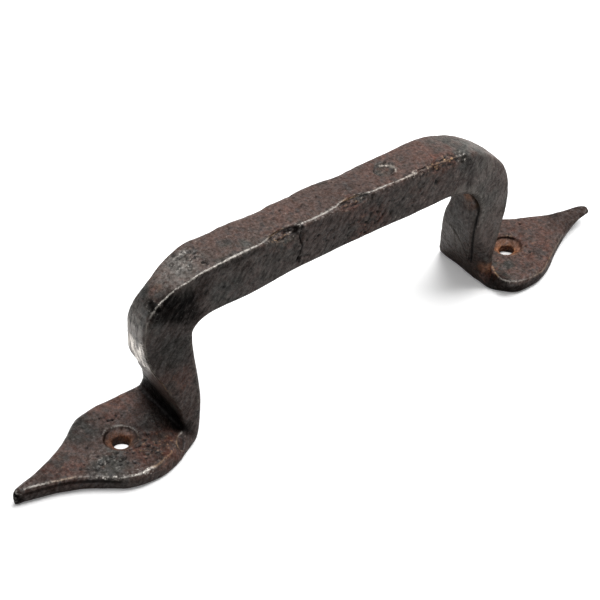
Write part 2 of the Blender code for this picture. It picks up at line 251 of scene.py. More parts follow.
def copyNode(name):
    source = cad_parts[forging["node"]]
    piece = bpy.data.objects.new(name, source.data.copy())
    bpy.context.scene.collection.objects.link(piece)
    piece.data.materials.clear()
    makeActive(piece)
    bpy.ops.object.mode_set(mode="EDIT")
    bpy.ops.mesh.select_all(action="SELECT")
    bpy.ops.mesh.remove_doubles(threshold=forging["weld"])
    bpy.ops.object.mode_set(mode="OBJECT")
    return piece


def readVectors(mesh, what):
    values = np.empty(len(mesh.vertices) * 3)
    mesh.vertices.foreach_get(what, values)
    return values.reshape(-1, 3)


def writePoints(mesh, points):
    mesh.vertices.foreach_set("co", points.ravel())
    mesh.update()


def noiseAt(points, size, octaves=3, shift=0.0):
    offset = Vector((shift, shift * 0.7, -shift))
    return np.array([noise.fractal(Vector(p) / size + offset, 1.0, 2.0, octaves) for p in points])


# 1 in the middle of each hammer mark and 0 on the ridges between them
def hammerFacets(points, size):
    dish = np.empty(len(points))
    for index, p in enumerate(points):
        near, following = noise.voronoi(Vector((p[0], p[1] * 0.8, p[2] * 0.8)) / size)[0][:2]
        dish[index] = 1.0 - (2.0 * near / (near + following)) ** 2
    return dish


def pressMarks(points, normals):
    push = np.zeros_like(points)
    for mark in pressedMarks:
        facing = unit(mark["facing"])
        along = unit(np.array(mark["along"], float) - facing * np.dot(mark["along"], facing))
        across = np.cross(facing, along)
        offset = points - np.array(mark["at"])
        reach = np.hypot(offset @ along / mark["half"][0], offset @ across / mark["half"][1])
        onFace = smoothStep(normals @ facing, 0.3, 0.7) * (abs(offset @ facing) < forging["markReach"])
        depth = mark["depth"] * (1.0 - smoothStep(reach, mark.get("sharp", 0.6), 1.1)) * onFace
        push -= facing * depth[:, None]
    return push


def lineDistance(points, start, end):
    start, end = np.array(start), np.array(end)
    along = end - start
    share = np.clip((points - start) @ along / (along @ along), 0.0, 1.0)
    return np.linalg.norm(points - start - share[:, None] * along, axis=1), share


def pathDistance(points, path):
    distance = np.full(len(points), 1.0)
    for start, end in zip(path, path[1:]):
        distance = np.minimum(distance, lineDistance(points, start, end)[0])
    return distance


def cutCreases(points, normals):
    push = np.zeros_like(points)
    for crease in creases:
        distance = pathDistance(points, crease["points"])
        depth = crease["depth"] * (1.0 - smoothStep(distance, 0.0, crease["width"]))
        push -= normals * depth[:, None]
    return push


def onePit(points, normals, at, facing, radius, depth, stretch=1.0):
    facing = unit(facing)
    offset = points - np.array(at)
    height = offset @ facing
    offset = offset - facing * (height * 0.7)[:, None]
    offset[:, 0] /= stretch
    onFace = smoothStep(normals @ facing, 0.3, 0.7)
    near = (1.0 - smoothStep(np.linalg.norm(offset, axis=1), radius * 0.2, radius * 1.3)) * onFace
    return -facing * (near * depth)[:, None], near


def dentPits(points, normals):
    chance = np.random.RandomState(forging["pitSeed"])
    push = np.zeros_like(points)
    pitted = np.zeros(len(points))
    for at, facing, radius, depth in pits:
        dent, near = onePit(points, normals, at, facing, radius, depth)
        push += dent
        pitted = np.maximum(pitted, near)
    for group in pitGroups:
        upright = abs(group["facing"][2]) < 0.5
        for _ in range(group["count"]):
            sideways, lengthways = chance.normal(size=2) * 0.6
            radius = chance.uniform(*group["radius"])
            at = np.array(group["at"]) + [sideways * group["spread"][0], 0, 0]
            at[2 if upright else 1] += lengthways * group["spread"][1]
            stretch = chance.uniform(0.6, 1.8)
            dent, near = onePit(points, normals, at, group["facing"], radius, group["depth"], stretch)
            push += dent
            pitted = np.maximum(pitted, near * 0.7)
    return push, pitted


# opens each bore a little below its cone, and the right one wider towards the door
def widenHoles(points):
    push = np.zeros_like(points)
    height = points[:, 2]
    for x in forging["holes"]:
        offset = points - [x, 0.0, 0.0]
        reach = np.hypot(offset[:, 0], offset[:, 1])
        inBore = 1.0 - smoothStep(reach, *forging["boreEdges"])
        near = inBore * (height < forging["holeTop"])
        near *= 1.0 - smoothStep(height, *forging["boreHeights"])
        wear = forging["boreWear"] * near
        if x > 0:
            wear += forging["boreFlare"] * inBore * (1.0 - smoothStep(height, *forging["flareHeights"]))
        outward = offset[:, :2] / np.maximum(reach, 1e-6)[:, None]
        push[:, :2] += outward * wear[:, None]
    return push


def wearArrises(points, normals):
    push = np.zeros_like(points)
    for stretch in roughArrises:
        distance, share = lineDistance(points, stretch["start"], stretch["end"])
        near = np.where(distance < stretch["reach"])[0]
        rough = noiseAt(points[near], stretch["size"], 3, 4.0)
        fade = 1.0 - smoothStep(distance[near], stretch["reach"] * 0.4, stretch["reach"])
        fade *= np.clip(share[near] * 8, 0, 1) * np.clip((1 - share[near]) * 8, 0, 1)
        depth = stretch["depth"] * fade * (0.45 + 0.55 * np.clip(rough, -1, 1))
        push[near] -= normals[near] * depth[:, None]
    return push


# above 0 along arrises and below 0 in hollows
def edgeCurvature(mesh):
    points = readVectors(mesh, "co")
    normals = readVectors(mesh, "normal")
    ends = np.empty(len(mesh.edges) * 2, int)
    mesh.edges.foreach_get("vertices", ends)
    first, second = ends.reshape(-1, 2).T
    gap = points[first] - points[second]
    bend = ((normals[first] - normals[second]) * gap).sum(1) / (gap * gap).sum(1)
    size = len(points)
    count = np.bincount(first, minlength=size) + np.bincount(second, minlength=size)
    curvature = (np.bincount(first, bend, size) + np.bincount(second, bend, size)) / count
    for _ in range(2):
        spread = np.bincount(first, curvature[second], size)
        spread = spread + np.bincount(second, curvature[first], size)
        curvature = 0.4 * curvature + 0.6 * spread / count
    return curvature


def writeAttribute(mesh, name, values):
    attribute = mesh.attributes.new(name, "FLOAT", "POINT")
    attribute.data.foreach_set("value", values.astype(np.float32))


# part of a round rim, in degrees from X
def rimArc(x, radius, height, first, last):
    angles = np.radians(np.linspace(first, last, 14))
    return [(x + radius * np.cos(a), radius * np.sin(a), height) for a in angles]


# bright bare-metal lines, mostly along arrises, partly worn metal and partly painted highlights where
# the arrises catch the light: points, first and last width, strength
wornAndHighlightLines = [
    {"points": [(-0.0658, -0.0053, 0.0542), (-0.0638, -0.0056, 0.0560), (-0.0623, -0.0060, 0.0570),
                (-0.0609, -0.0060, 0.0579), (-0.0593, -0.0062, 0.0587), (-0.0577, -0.0064, 0.0594),
                (-0.0558, -0.0067, 0.0598), (-0.0539, -0.0069, 0.0603), (-0.0510, -0.0069, 0.0610),
                (-0.0458, -0.0070, 0.0614), (-0.0404, -0.0068, 0.0616), (-0.0350, -0.0067, 0.0617),
                (-0.0289, -0.0066, 0.0616)],
     "widths": (0.00022, 0.00030), "amount": 1.0},
    {"points": [(-0.0289, -0.0066, 0.0616), (-0.0252, -0.0056, 0.0618), (-0.0197, -0.0046, 0.0616),
                (-0.0146, -0.0061, 0.0617)],
     "widths": (0.00028, 0.00022), "amount": 0.6},
    {"points": [(-0.0146, -0.0061, 0.0617), (-0.0104, -0.0064, 0.0618), (-0.0066, -0.0063, 0.0619),
                (-0.0014, -0.0059, 0.0619)],
     "widths": (0.00030, 0.00030), "amount": 0.9},
    {"points": [(-0.0014, -0.0059, 0.0619), (0.0021, -0.0048, 0.0619), (0.0058, -0.0049, 0.0618),
                (0.0100, -0.0054, 0.0617), (0.0136, -0.0063, 0.0618), (0.0186, -0.0064, 0.0619),
                (0.0230, -0.0067, 0.0617), (0.0277, -0.0067, 0.0614)],
     "widths": (0.00026, 0.00026), "amount": 0.9},
    {"points": [(0.0277, -0.0067, 0.0614), (0.0358, -0.0066, 0.0612), (0.0423, -0.0066, 0.0607),
                (0.0487, -0.0064, 0.0598)],
     "widths": (0.00025, 0.00020), "amount": 0.25},
    {"points": [(-0.0658, -0.0053, 0.0542), (-0.0677, -0.0053, 0.0517), (-0.0688, -0.0052, 0.0496),
                (-0.0693, -0.0053, 0.0473), (-0.0698, -0.0051, 0.0424), (-0.0697, -0.0055, 0.0376),
                (-0.0687, -0.0061, 0.0327), (-0.0671, -0.0066, 0.0286), (-0.0637, -0.0072, 0.0211),
                (-0.0609, -0.0079, 0.0143)],
     "widths": (0.00028, 0.00024), "amount": 0.45},
    {"points": [(-0.0699, -0.0038, 0.0424), (-0.0698, -0.0042, 0.0376), (-0.0689, -0.0048, 0.0327),
                (-0.0672, -0.0053, 0.0286)],
     "widths": (0.0014, 0.0009), "amount": 0.75},
    {"points": [(-0.1118, -0.0008, 0.0050), (-0.1100, -0.0013, 0.0051), (-0.1042, -0.0030, 0.0051),
                (-0.0972, -0.0057, 0.0052)],
     "widths": (0.00026, 0.00028), "amount": 0.6},
    {"points": [(-0.0972, -0.0057, 0.0052), (-0.0910, -0.0096, 0.0050), (-0.0866, -0.0136, 0.0047)],
     "widths": (0.00026, 0.00026), "amount": 0.28},
    {"points": [(-0.0866, -0.0136, 0.0047), (-0.0810, -0.0159, 0.0049), (-0.0760, -0.0160, 0.0050)],
     "widths": (0.00026, 0.00050), "amount": 0.9},
    {"points": [(-0.0760, -0.0160, 0.0050), (-0.0738, -0.0157, 0.0050), (-0.0682, -0.0137, 0.0047)],
     "widths": (0.00028, 0.00022), "amount": 0.35},
    {"points": [(0.0575, -0.0060, 0.0370), (0.0570, -0.0057, 0.0321), (0.0563, -0.0055, 0.0257),
                (0.0575, -0.0030, 0.0163), (0.0590, -0.0012, 0.0105)],
     "widths": (0.00022, 0.00022), "amount": 0.35},
    {"points": [(0.0558, 0.0040, 0.0225), (0.0565, 0.0012, 0.0195), (0.0575, -0.0010, 0.0158)],
     "widths": (0.00020, 0.00020), "amount": 0.2},
    {"points": [(0.0450, -0.0071, 0.0468), (0.0500, -0.0071, 0.0455), (0.0545, -0.0071, 0.0428),
                (0.0575, -0.0071, 0.0390), (0.0588, -0.0071, 0.0340), (0.0586, -0.0071, 0.0290)],
     "widths": (0.0013, 0.0009), "amount": 0.22},
    {"points": [(0.0663, -0.0055, 0.0054), (0.0651, -0.0084, 0.0054), (0.0647, -0.0109, 0.0052),
                (0.0650, -0.0126, 0.0051), (0.0660, -0.0149, 0.0052), (0.0685, -0.0161, 0.0050),
                (0.0717, -0.0166, 0.0047), (0.0747, -0.0168, 0.0046), (0.0794, -0.0162, 0.0042),
                (0.0826, -0.0146, 0.0045), (0.0864, -0.0124, 0.0046), (0.0935, -0.0083, 0.0040),
                (0.0986, -0.0058, 0.0042)],
     "widths": (0.00026, 0.00022), "amount": 0.5},
    {"points": [(-0.0613, -0.0088, 0.0052), (-0.0635, -0.0100, 0.0053), (-0.0655, -0.0119, 0.0050),
                (-0.0656, -0.0131, 0.0039), (-0.0639, -0.0131, 0.0021)],
     "widths": (0.00026, 0.00024), "amount": 0.5},
    {"points": [(-0.0560, -0.0068, 0.0400), (-0.0545, -0.0070, 0.0330), (-0.0541, -0.0070, 0.0275),
                (-0.0538, -0.0070, 0.0212), (-0.0544, -0.0079, 0.0140)],
     "widths": (0.0011, 0.0010), "amount": 0.10},
    # painted highlights on the lit side of the countersinks' rims and the punch mark's rim
    {"points": rimArc(-0.0778, 0.0055, 0.0053, -30, 90), "widths": (0.00020, 0.00024), "amount": 0.45},
    {"points": rimArc(-0.0778, 0.0042, 0.0046, -20, 80), "widths": (0.00020, 0.00020), "amount": 0.25},
    {"points": rimArc(0.0778, 0.0055, 0.0053, -150, -60), "widths": (0.00022, 0.00022), "amount": 0.25},
    {"points": rimArc(0.0223, 0.0035, 0.0620, -50, 75), "widths": (0.00022, 0.00032), "amount": 1.0},
]

# lines darkened partly by dirt and black scale and partly by painted shade: in the creases and folds,
# under the grip's near arris, along the plates' near walls and on the shaded side of the rims, given
# the same way
sootAndShadeLines = [
    {"points": [(0.0642, -0.0045, 0.0066), (0.0636, -0.0078, 0.0064), (0.0638, -0.0105, 0.0052),
                (0.0642, -0.0128, 0.0042)],
     "widths": (0.0009, 0.0008), "amount": 0.9},
    {"points": [(-0.0600, -0.0067, 0.0562), (-0.0539, -0.0071, 0.0585), (-0.0510, -0.0072, 0.0595),
                (-0.0458, -0.0073, 0.0599), (-0.0404, -0.0073, 0.0601), (-0.0350, -0.0072, 0.0602),
                (-0.0289, -0.0072, 0.0600)],
     "widths": (0.0010, 0.0010), "amount": 0.55},
    {"points": [(-0.0195, -0.0054, 0.0610), (-0.0160, -0.0062, 0.0606), (-0.0141, -0.0068, 0.0608)],
     "widths": (0.0003, 0.0007), "amount": 0.8},
    {"points": [(-0.0258, -0.0066, 0.0608), (-0.0240, -0.0069, 0.0597), (-0.0222, -0.0068, 0.0601),
                (-0.0200, -0.0070, 0.0593), (-0.0178, -0.0070, 0.0597), (-0.0160, -0.0070, 0.0592)],
     "widths": (0.0003, 0.0004), "amount": 0.6},
    {"points": [(-0.0010, -0.0064, 0.0612), (0.0015, -0.0067, 0.0603), (0.0040, -0.0068, 0.0606),
                (0.0070, -0.0069, 0.0599), (0.0100, -0.0069, 0.0604)],
     "widths": (0.0003, 0.0003), "amount": 0.5},
    {"points": gripCrease, "widths": (0.0005, 0.0004), "amount": 0.85},
    # painted shadow of the left leg on its plate, filling the fold
    {"points": [(-0.0607, 0.0130, 0.0113), (-0.0606, 0.0067, 0.0097), (-0.0606, 0.0013, 0.0088),
                (-0.0605, -0.0040, 0.0077), (-0.0602, -0.0066, 0.0059)],
     "widths": (0.0080, 0.0044), "amount": 1.0},
    {"points": legCrease, "widths": (0.0012, 0.0003), "amount": 0.95},
    {"points": [(0.0491, -0.0069, 0.0587), (0.0515, -0.0071, 0.0552), (0.0524, -0.0072, 0.0509),
                (0.0510, -0.0072, 0.0476)],
     "widths": (0.0018, 0.0026), "amount": 0.55},
    {"points": footCrease, "widths": (0.0005, 0.0005), "amount": 0.6},
    # painted shade along the plates' near walls, under their top edges
    {"points": [(-0.1125, -0.0012, 0.0038), (-0.1042, -0.0040, 0.0040), (-0.0972, -0.0066, 0.0040),
                (-0.0910, -0.0106, 0.0038), (-0.0866, -0.0146, 0.0036)],
     "widths": (0.0008, 0.0008), "amount": 0.8},
    {"points": [(0.0636, -0.0105, 0.0022), (0.0660, -0.0155, 0.0020), (0.0700, -0.0172, 0.0018),
                (0.0747, -0.0172, 0.0020), (0.0815, -0.0158, 0.0020), (0.0870, -0.0128, 0.0020),
                (0.0928, -0.0090, 0.0022), (0.0990, -0.0055, 0.0022)],
     "widths": (0.0030, 0.0018), "amount": 0.75},
    # painted shade on the shaded side of the countersinks' rims and the punch mark's rim
    {"points": rimArc(0.0778, 0.0052, 0.0050, 20, 150), "widths": (0.0006, 0.0006), "amount": 0.8},
    {"points": rimArc(-0.0778, 0.0050, 0.0050, 110, 230), "widths": (0.0006, 0.0006), "amount": 0.6},
    {"points": rimArc(0.0223, 0.0033, 0.0618, 130, 300), "widths": (0.0005, 0.0005), "amount": 0.7},
]

# patches of colour: place, radius, strength
redPatches = [
    ((-0.0778, 0.0, 0.0035), 0.0058, 0.70),
    ((-0.0713, 0.0133, 0.0053), 0.0110, 0.55),
    ((-0.0709, -0.0100, 0.0053), 0.0100, 0.95),
    ((-0.0980, 0.0010, 0.0053), 0.0110, 0.50),
    ((-0.0225, -0.0062, 0.0600), 0.0060, 0.55),
    ((0.0050, -0.0064, 0.0600), 0.0060, 0.55),
    ((0.0400, -0.0064, 0.0605), 0.0080, 0.70),
    ((0.0300, 0.0000, 0.0621), 0.0200, 0.30),
    ((-0.0200, 0.0010, 0.0621), 0.0150, 0.20),
    ((0.0778, 0.0, 0.0030), 0.0075, 1.00),
    ((0.0820, -0.0040, 0.0053), 0.0220, 0.55),
    ((0.0640, -0.0060, 0.0060), 0.0060, 1.00),
    ((-0.0600, -0.0073, 0.0250), 0.0070, 0.60),
    ((-0.0655, -0.0070, 0.0255), 0.0050, 0.50),
    ((0.0110, -0.0072, 0.0500), 0.0090, 0.95),
    ((0.0574, -0.0018, 0.0354), 0.0050, 0.80),
    ((-0.0625, -0.0010, 0.0570), 0.0030, 0.50),
]
orangePatches = [
    ((0.0778, 0.0, 0.0032), 0.0056, 1.00),
    ((0.0617, -0.0066, 0.0082), 0.0028, 0.75),
    ((0.0574, -0.0010, 0.0370), 0.0028, 0.80),
    ((-0.0778, 0.0, 0.0032), 0.0054, 0.45),
]
coolPatches = [
    ((-0.0857, 0.0103, 0.0053), 0.0080, 0.90),
    ((-0.0860, -0.0075, 0.0053), 0.0090, 0.95),
    ((-0.0663, 0.0000, 0.0053), 0.0050, 0.60),
    ((0.0223, 0.0007, 0.0617), 0.0040, 2.50),
    ((-0.0620, -0.0066, 0.0370), 0.0090, 0.85),
    ((-0.0510, 0.0000, 0.0619), 0.0090, 0.70),
    ((-0.0250, -0.0072, 0.0540), 0.0130, 0.70),
    ((-0.0420, -0.0072, 0.0520), 0.0100, 0.60),
    ((0.0240, -0.0072, 0.0530), 0.0090, 0.60),
    ((0.0480, 0.0020, 0.0619), 0.0080, 0.90),
    ((0.0570, -0.0070, 0.0380), 0.0110, 0.80),
    ((0.0570, 0.0030, 0.0250), 0.0080, 0.70),
]
# dark patches, partly dirt and black scale and partly painted shade: beside the left bend, in the
# folds, down the screw holes and under the plates' tips; the plates' tops are made darker in places
sootAndShadePatches = [
    ((-0.0160, -0.0063, 0.0604), 0.0016, 0.90),
    ((-0.0163, -0.0074, 0.0500), 0.0012, 1.00),
    ((0.0223, 0.0007, 0.0615), 0.0042, 0.10),
    ((-0.0685, 0.0010, 0.0500), 0.0052, 0.50),
    ((-0.0690, 0.0045, 0.0455), 0.0026, 0.60),
    ((-0.0654, -0.0050, 0.0535), 0.0024, 1.00),
    ((-0.0704, 0.0000, 0.0425), 0.0018, 0.55),
    ((-0.0610, -0.0065, 0.0550), 0.0052, 1.00),
    ((-0.0566, -0.0070, 0.0540), 0.0066, 1.00),
    ((-0.0591, -0.0068, 0.0507), 0.0062, 1.00),
    ((-0.0552, -0.0071, 0.0480), 0.0052, 0.95),
    ((-0.0640, -0.0062, 0.0515), 0.0050, 0.95),
    ((-0.0510, -0.0073, 0.0560), 0.0060, 0.55),
    ((-0.0656, 0.0013, 0.0549), 0.0030, 0.50),
    ((-0.0661, -0.0031, 0.0544), 0.0028, 0.70),
    ((0.0640, -0.0110, 0.0030), 0.0060, 0.70),
    ((0.0560, -0.0072, 0.0540), 0.0060, 0.35),
    ((-0.0778, 0.0, 0.0010), 0.0030, 0.70),
    ((0.0778, 0.0, 0.0010), 0.0030, 0.70),
    ((-0.0625, -0.0065, 0.0370), 0.0120, 0.40),
    ((-0.1060, 0.0, 0.0053), 0.0130, 0.40),
    ((-0.1150, 0.0, 0.0025), 0.0042, 1.00),
    ((0.1145, 0.0, 0.0040), 0.0045, 0.60),
    ((-0.0628, -0.0120, 0.0038), 0.0024, 0.50),
    ((0.0830, -0.0020, 0.0053), 0.0240, 0.25),
    ((0.0050, -0.0073, 0.0540), 0.0200, 0.25),
    ((-0.0857, 0.0103, 0.0053), 0.0090, 0.45),
    ((0.1060, 0.0, 0.0053), 0.0130, 0.55),
]
# bright bare-metal patches, partly worn metal and partly painted reflection on the bends' faces and the
# right bend's throat
wornAndReflectionPatches = [
    ((0.0612, -0.0070, 0.0300), 0.0150, 0.06),
    ((-0.0697, 0.0010, 0.0460), 0.0080, 0.24),
    ((-0.0700, 0.0040, 0.0400), 0.0070, 0.34),
    ((-0.0697, 0.0000, 0.0385), 0.0054, 0.85),
    ((-0.0680, -0.0010, 0.0325), 0.0045, 1.10),
    ((-0.0560, -0.0005, 0.0605), 0.0090, 0.10),
    ((0.0590, 0.0010, 0.0555), 0.0080, 0.06),
    ((0.0580, -0.0070, 0.0500), 0.0075, 0.12),
    # painted light bounced from the floor onto the right leg's inner face
    ((0.0570, 0.0045, 0.0170), 0.0080, 0.13),
    ((0.0521, -0.0072, 0.0443), 0.0035, 0.18),
    ((0.0485, -0.0072, 0.0467), 0.0030, 0.15),
]

# bright specks, partly chipped bare metal and partly painted glints, along chipped arrises and in
# patches
specksAndGlintLines = [
    {"points": [(0.0280, -0.0067, 0.0611), (0.0350, -0.0066, 0.0608), (0.0423, -0.0066, 0.0602),
                (0.0487, -0.0065, 0.0595)],
     "widths": (0.0014, 0.0024), "amount": 1.4},
    {"points": [(-0.0925, -0.0090, 0.0049), (-0.0866, -0.0136, 0.0047), (-0.0776, -0.0160, 0.0047)],
     "widths": (0.0005, 0.0014), "amount": 1.2},
    {"points": [(-0.0260, -0.0064, 0.0607), (-0.0150, -0.0068, 0.0600)],
     "widths": (0.0010, 0.0010), "amount": 0.5},
    {"points": [(0.0000, -0.0062, 0.0612), (0.0120, -0.0066, 0.0608)],
     "widths": (0.0008, 0.0008), "amount": 0.5},
]
specksAndGlintPatches = [
    ((-0.0520, 0.0005, 0.0619), 0.0060, 0.70),
    ((0.0559, -0.0070, 0.0504), 0.0120, 0.15),
    ((-0.0695, -0.0010, 0.0420), 0.0050, 0.30),
    ((-0.0865, -0.0060, 0.0053), 0.0060, 0.35),
    ((-0.0735, -0.0085, 0.0053), 0.0045, 0.40),
    ((-0.0700, -0.0100, 0.0053), 0.0060, 0.40),
]


def patchStrength(points, patches):
    strength = np.zeros(len(points))
    for at, radius, amount in patches:
        distance = np.linalg.norm(points - np.array(at), axis=1)
        fade = 1.0 - smoothStep(distance, radius * 0.35, radius * 1.15)
        strength = np.maximum(strength, amount * fade)
    return strength


# how strongly the lines show at each point; a line runs from its first width to its last
def lineStrength(points, lines):
    strength = np.zeros(len(points))
    for line in lines:
        path = line["points"]
        widths = np.linspace(line["widths"][0], line["widths"][1], len(path))
        for index, (start, end) in enumerate(zip(path, path[1:])):
            distance, share = lineDistance(points, start, end)
            width = widths[index] + (widths[index + 1] - widths[index]) * share
            fade = 1.0 - smoothStep(distance / width, 0.3, 1.2)
            strength = np.maximum(strength, line["amount"] * fade)
    return strength


# how far the hammer, the drawing out and lost scale sink each point
def hammerDepth(points, normals):
    depth = forging["facetDepth"] * (hammerFacets(points, forging["facetSize"]) - 0.5)
    waves = 0.8 * noiseAt(points, forging["waveSize"], 2, 1.0)
    depth += forging["waveDepth"] * np.clip(waves, -0.5, 0.5)
    depth += forging["roughDepth"] * np.clip(noiseAt(points, forging["roughSize"], 3, 2.0), -1, 1)
    top = smoothStep(points[:, 2], *forging["topHeights"])
    depth += forging["topSink"] * smoothStep(normals[:, 2], 0.5, 0.9) * top
    # the underside of the grip stayed straighter than its top
    upper = smoothStep(points[:, 2], *forging["steadyHeights"])
    loose = np.maximum(upper, smoothStep(abs(points[:, 0]), *forging["steadyEnds"]))
    steady = forging["steadyShare"] + (1.0 - forging["steadyShare"]) * loose
    return depth * steady - forging["swell"]


# wear, colour, painted shade and painted highlights at each point, for the material; places and normals
# are those before hammering
def writeWearShadeAndHighlights(mesh, places, normals, pitted):
    curvature = edgeCurvature(mesh)
    writeAttribute(mesh, "edgeWear", smoothStep(curvature, *forging["edgeBends"]))
    writeAttribute(mesh, "hollow", smoothStep(-curvature, *forging["hollowBends"]))
    pastLeft = smoothStep(places[:, 0], *forging["leftLeg"])
    filed = forging["leftFiled"] + (1.0 - forging["leftFiled"]) * pastLeft
    writeAttribute(mesh, "sideFace", smoothStep(abs(normals[:, 1]), 0.5, 0.9) * filed)
    writeAttribute(mesh, "pitted", pitted)
    writeAttribute(mesh, "wornAndHighlightLine", lineStrength(places, wornAndHighlightLines))
    writeAttribute(mesh, "wornAndReflectionPatch", patchStrength(places, wornAndReflectionPatches))
    specks = np.maximum(patchStrength(places, specksAndGlintPatches), lineStrength(places, specksAndGlintLines))
    writeAttribute(mesh, "specksAndGlints", specks)
    writeAttribute(mesh, "sootAndShadeLine", lineStrength(places, sootAndShadeLines))
    writeAttribute(mesh, "sootAndShadePatch", patchStrength(places, sootAndShadePatches))
    writeAttribute(mesh, "redRust", patchStrength(places, redPatches))
    writeAttribute(mesh, "orangeRust", patchStrength(places, orangePatches))
    writeAttribute(mesh, "coolScale", patchStrength(places, coolPatches))


def buildForging():
    piece = copyNode("forging")
    addModifier(piece, "REMESH", "fineMesh", mode="VOXEL", voxel_size=forging["voxel"])
    ease = {"factor": forging["smoothFactor"], "iterations": forging["smoothTimes"]}
    addModifier(piece, "SMOOTH", "easeSteps", **ease)
    mesh = piece.data
    print("fine mesh of", len(mesh.polygons), "faces")

    places = readVectors(mesh, "co")
    normals = readVectors(mesh, "normal")
    # the undersides of the plates stay flat
    free = 1.0 - smoothStep(-normals[:, 2], 0.4, 0.8) * (places[:, 2] < forging["plateHeight"])
    points = places - normals * (hammerDepth(places, normals) * free)[:, None]
    points += widenHoles(points)
    points += wearArrises(points, normals)
    points += pressMarks(points, normals)
    points += cutCreases(points, normals)
    push, pitted = dentPits(points, normals)
    points += push
    writePoints(mesh, np.clip(points, cadBox[0], cadBox[1]))
    print("hammered, creased and pitted")

    writeWearShadeAndHighlights(mesh, places, normals, pitted)
    share = forging["triangles"] / (2 * len(mesh.polygons))
    addModifier(piece, "DECIMATE", "thinFlats", ratio=min(1.0, share))
    writePoints(piece.data, np.clip(readVectors(piece.data, "co"), cadBox[0], cadBox[1]))
    makeActive(piece)
    bpy.ops.object.shade_smooth()
    print("thinned to", len(piece.data.polygons), "faces")
    return piece


def srgb(red, green, blue):
    return [(value / 255.0) ** 2.2 for value in (red, green, blue)] + [1.0]


# colours and sheen of the forged iron
ironFinish = {
    "brown": srgb(73, 57, 51),
    "cool": srgb(58, 57, 53),
    "scale": srgb(26, 22, 21),
    # the darkest colour serves both dirt and painted shade
    "sootAndShade": srgb(12, 9, 8),
    "red": srgb(86, 54, 44),
    "orange": srgb(126, 80, 56),
    "orangeSpot": srgb(160, 106, 74),
    # bare-metal colours, also used for painted highlights, reflections and glints
    "steelAndHighlight": srgb(206, 200, 192),
    "warmSteelAndHighlight": srgb(196, 160, 124),
    "broadScale": 48.0,            # sizes of the mottling, from broad to fine
    "middleScale": 230.0,
    "smallScale": 1000.0,
    "grainScale": 2600.0,
    "cellScale": 700.0,
    "strokeLines": ((150.0, 60.0, 200.0), (0.0, 420.0, 0.0), (-720.0, 0.0, 540.0)),
    "legStrokes": (900.0, 900.0, 150.0),
    "grainTone": (0.62, 1.38),
    "smallTone": (0.60, 1.40),
    "strokeTone": (0.82, 1.34),
    "sheen": 0.45,
    "roughness": (0.28, 0.46),
    "bump": 0.8,
    "bumpDepth": 0.00035,
}


def addNode(tree, kind, inputs=None, **options):
    made = tree.nodes.new(kind)
    for option, value in options.items():
        setattr(made, option, value)
    for socket, value in (inputs or {}).items():
        if isinstance(value, bpy.types.NodeSocket):
            tree.links.new(value, made.inputs[socket])
        else:
            made.inputs[socket].default_value = value
    return made


def addNoise(tree, place, scale, detail=4.0, roughness=0.55):
    inputs = {"Vector": place, "Scale": scale, "Detail": detail, "Roughness": roughness}
    return addNode(tree, "ShaderNodeTexNoise", inputs).outputs["Fac"]


def addRange(tree, value, low, high, toLow=0.0, toHigh=1.0):
    inputs = {"Value": value, "From Min": low, "From Max": high, "To Min": toLow, "To Max": toHigh}
    made = addNode(tree, "ShaderNodeMapRange", inputs, interpolation_type="SMOOTHSTEP")
    return made.outputs["Result"]


def addMath(tree, operation, first, second):
    return addNode(tree, "ShaderNodeMath", {0: first, 1: second}, operation=operation).outputs[0]


def addMix(tree, share, first, second, blendType="MIX"):
    made = addNode(tree, "ShaderNodeMix", {"Factor": share}, data_type="RGBA", blend_type=blendType)
    for socket, value in ((6, first), (7, second)):
        if isinstance(value, bpy.types.NodeSocket):
            tree.links.new(value, made.inputs[socket])
        else:
            made.inputs[socket].default_value = value
    return made.outputs[2]


def addAttribute(tree, name):
    return addNode(tree, "ShaderNodeAttribute", attribute_name=name).outputs["Fac"]


def addVector(tree, operation, first, second):
    return addNode(tree, "ShaderNodeVectorMath", {0: first, 1: second}, operation=operation).outputs


def addDot(tree, place, direction):
    return addVector(tree, "DOT_PRODUCT", place, direction)["Value"]


def addGrey(tree, value):
    return addNode(tree, "ShaderNodeCombineColor", {0: value, 1: value, 2: value}).outputs[0]


# noise drawn out along the strokes of the hammer and file
def addStreaks(tree, place):
    along, side, across = [addDot(tree, place, line) for line in ironFinish["strokeLines"]]
    drawn = addNode(tree, "ShaderNodeCombineXYZ", {0: along, 1: side, 2: across}).outputs[0]
    return addNoise(tree, drawn, 1.0, 3.0, 0.6)


# how much bare metal shows, partly worn and partly painted highlights, reflections and glints: broken
# lines, arrises, strokes, specks and flecks
def addWearAndHighlights(tree, legStreaks, middle, small):
    broken = addRange(tree, small, 0.36, 0.56, 0.18, 1.0)
    line = addMath(tree, "MULTIPLY", addAttribute(tree, "wornAndHighlightLine"), broken)
    edge = addMath(tree, "MULTIPLY", addAttribute(tree, "edgeWear"), addRange(tree, small, 0.48, 0.66))
    edge = addMath(tree, "MULTIPLY", edge, addRange(tree, middle, 0.42, 0.60, 0.0, 0.35))
    strokes = addRange(tree, legStreaks, 0.34, 0.62, 0.2, 1.7)
    patch = addMath(tree, "MULTIPLY", addAttribute(tree, "wornAndReflectionPatch"), strokes)
    dots = addRange(tree, small, 0.56, 0.66)
    specks = addMath(tree, "MULTIPLY", addAttribute(tree, "specksAndGlints"), dots)
    flecks = addMath(tree, "MULTIPLY", addRange(tree, small, 0.66, 0.74), 0.35)
    wearAndHighlights = addMath(tree, "MAXIMUM", addMath(tree, "MAXIMUM", line, edge), flecks)
    wearAndHighlights = addMath(tree, "MAXIMUM", wearAndHighlights, patch)
    return addMath(tree, "MAXIMUM", wearAndHighlights, specks)


